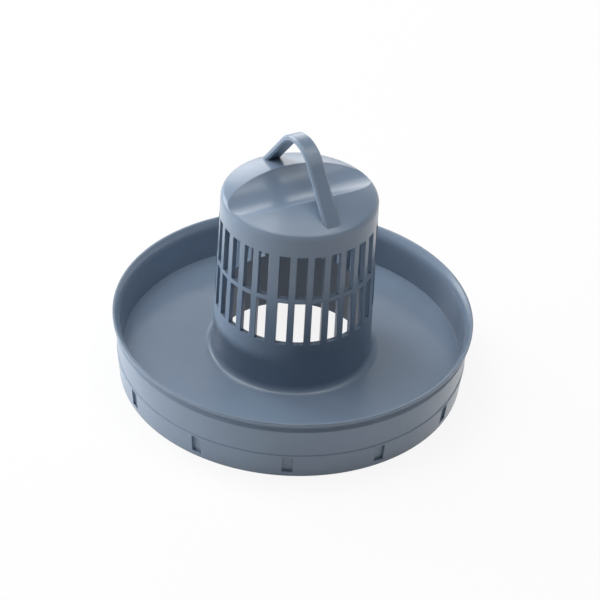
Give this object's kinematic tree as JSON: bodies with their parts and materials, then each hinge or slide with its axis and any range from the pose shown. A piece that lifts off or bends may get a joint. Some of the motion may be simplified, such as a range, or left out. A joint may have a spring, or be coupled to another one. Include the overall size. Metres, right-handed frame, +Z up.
{
  "type": "vacuum filter frame",
  "caption": "Round moulded filter frame: a lipped dish on a notched skirt carries a slotted basket with a domed cap, a trough across the cap and a bridge handle to lift it by.",
  "frame": {"origin": "centre of the skirt's bottom ring, on the surface that the frame stands on", "axes": "+Z up along the basket's axis, towards the handle; -Y towards the side that the picture shows"},
  "size_m": [0.15, 0.15, 0.112],
  "materials": {
    "grey_plastic": "satin moulded blue-grey plastic"
  },
  "bodies": {
    "root": {"filter_frame": "grey_plastic"}
  },
  "joints": []
}
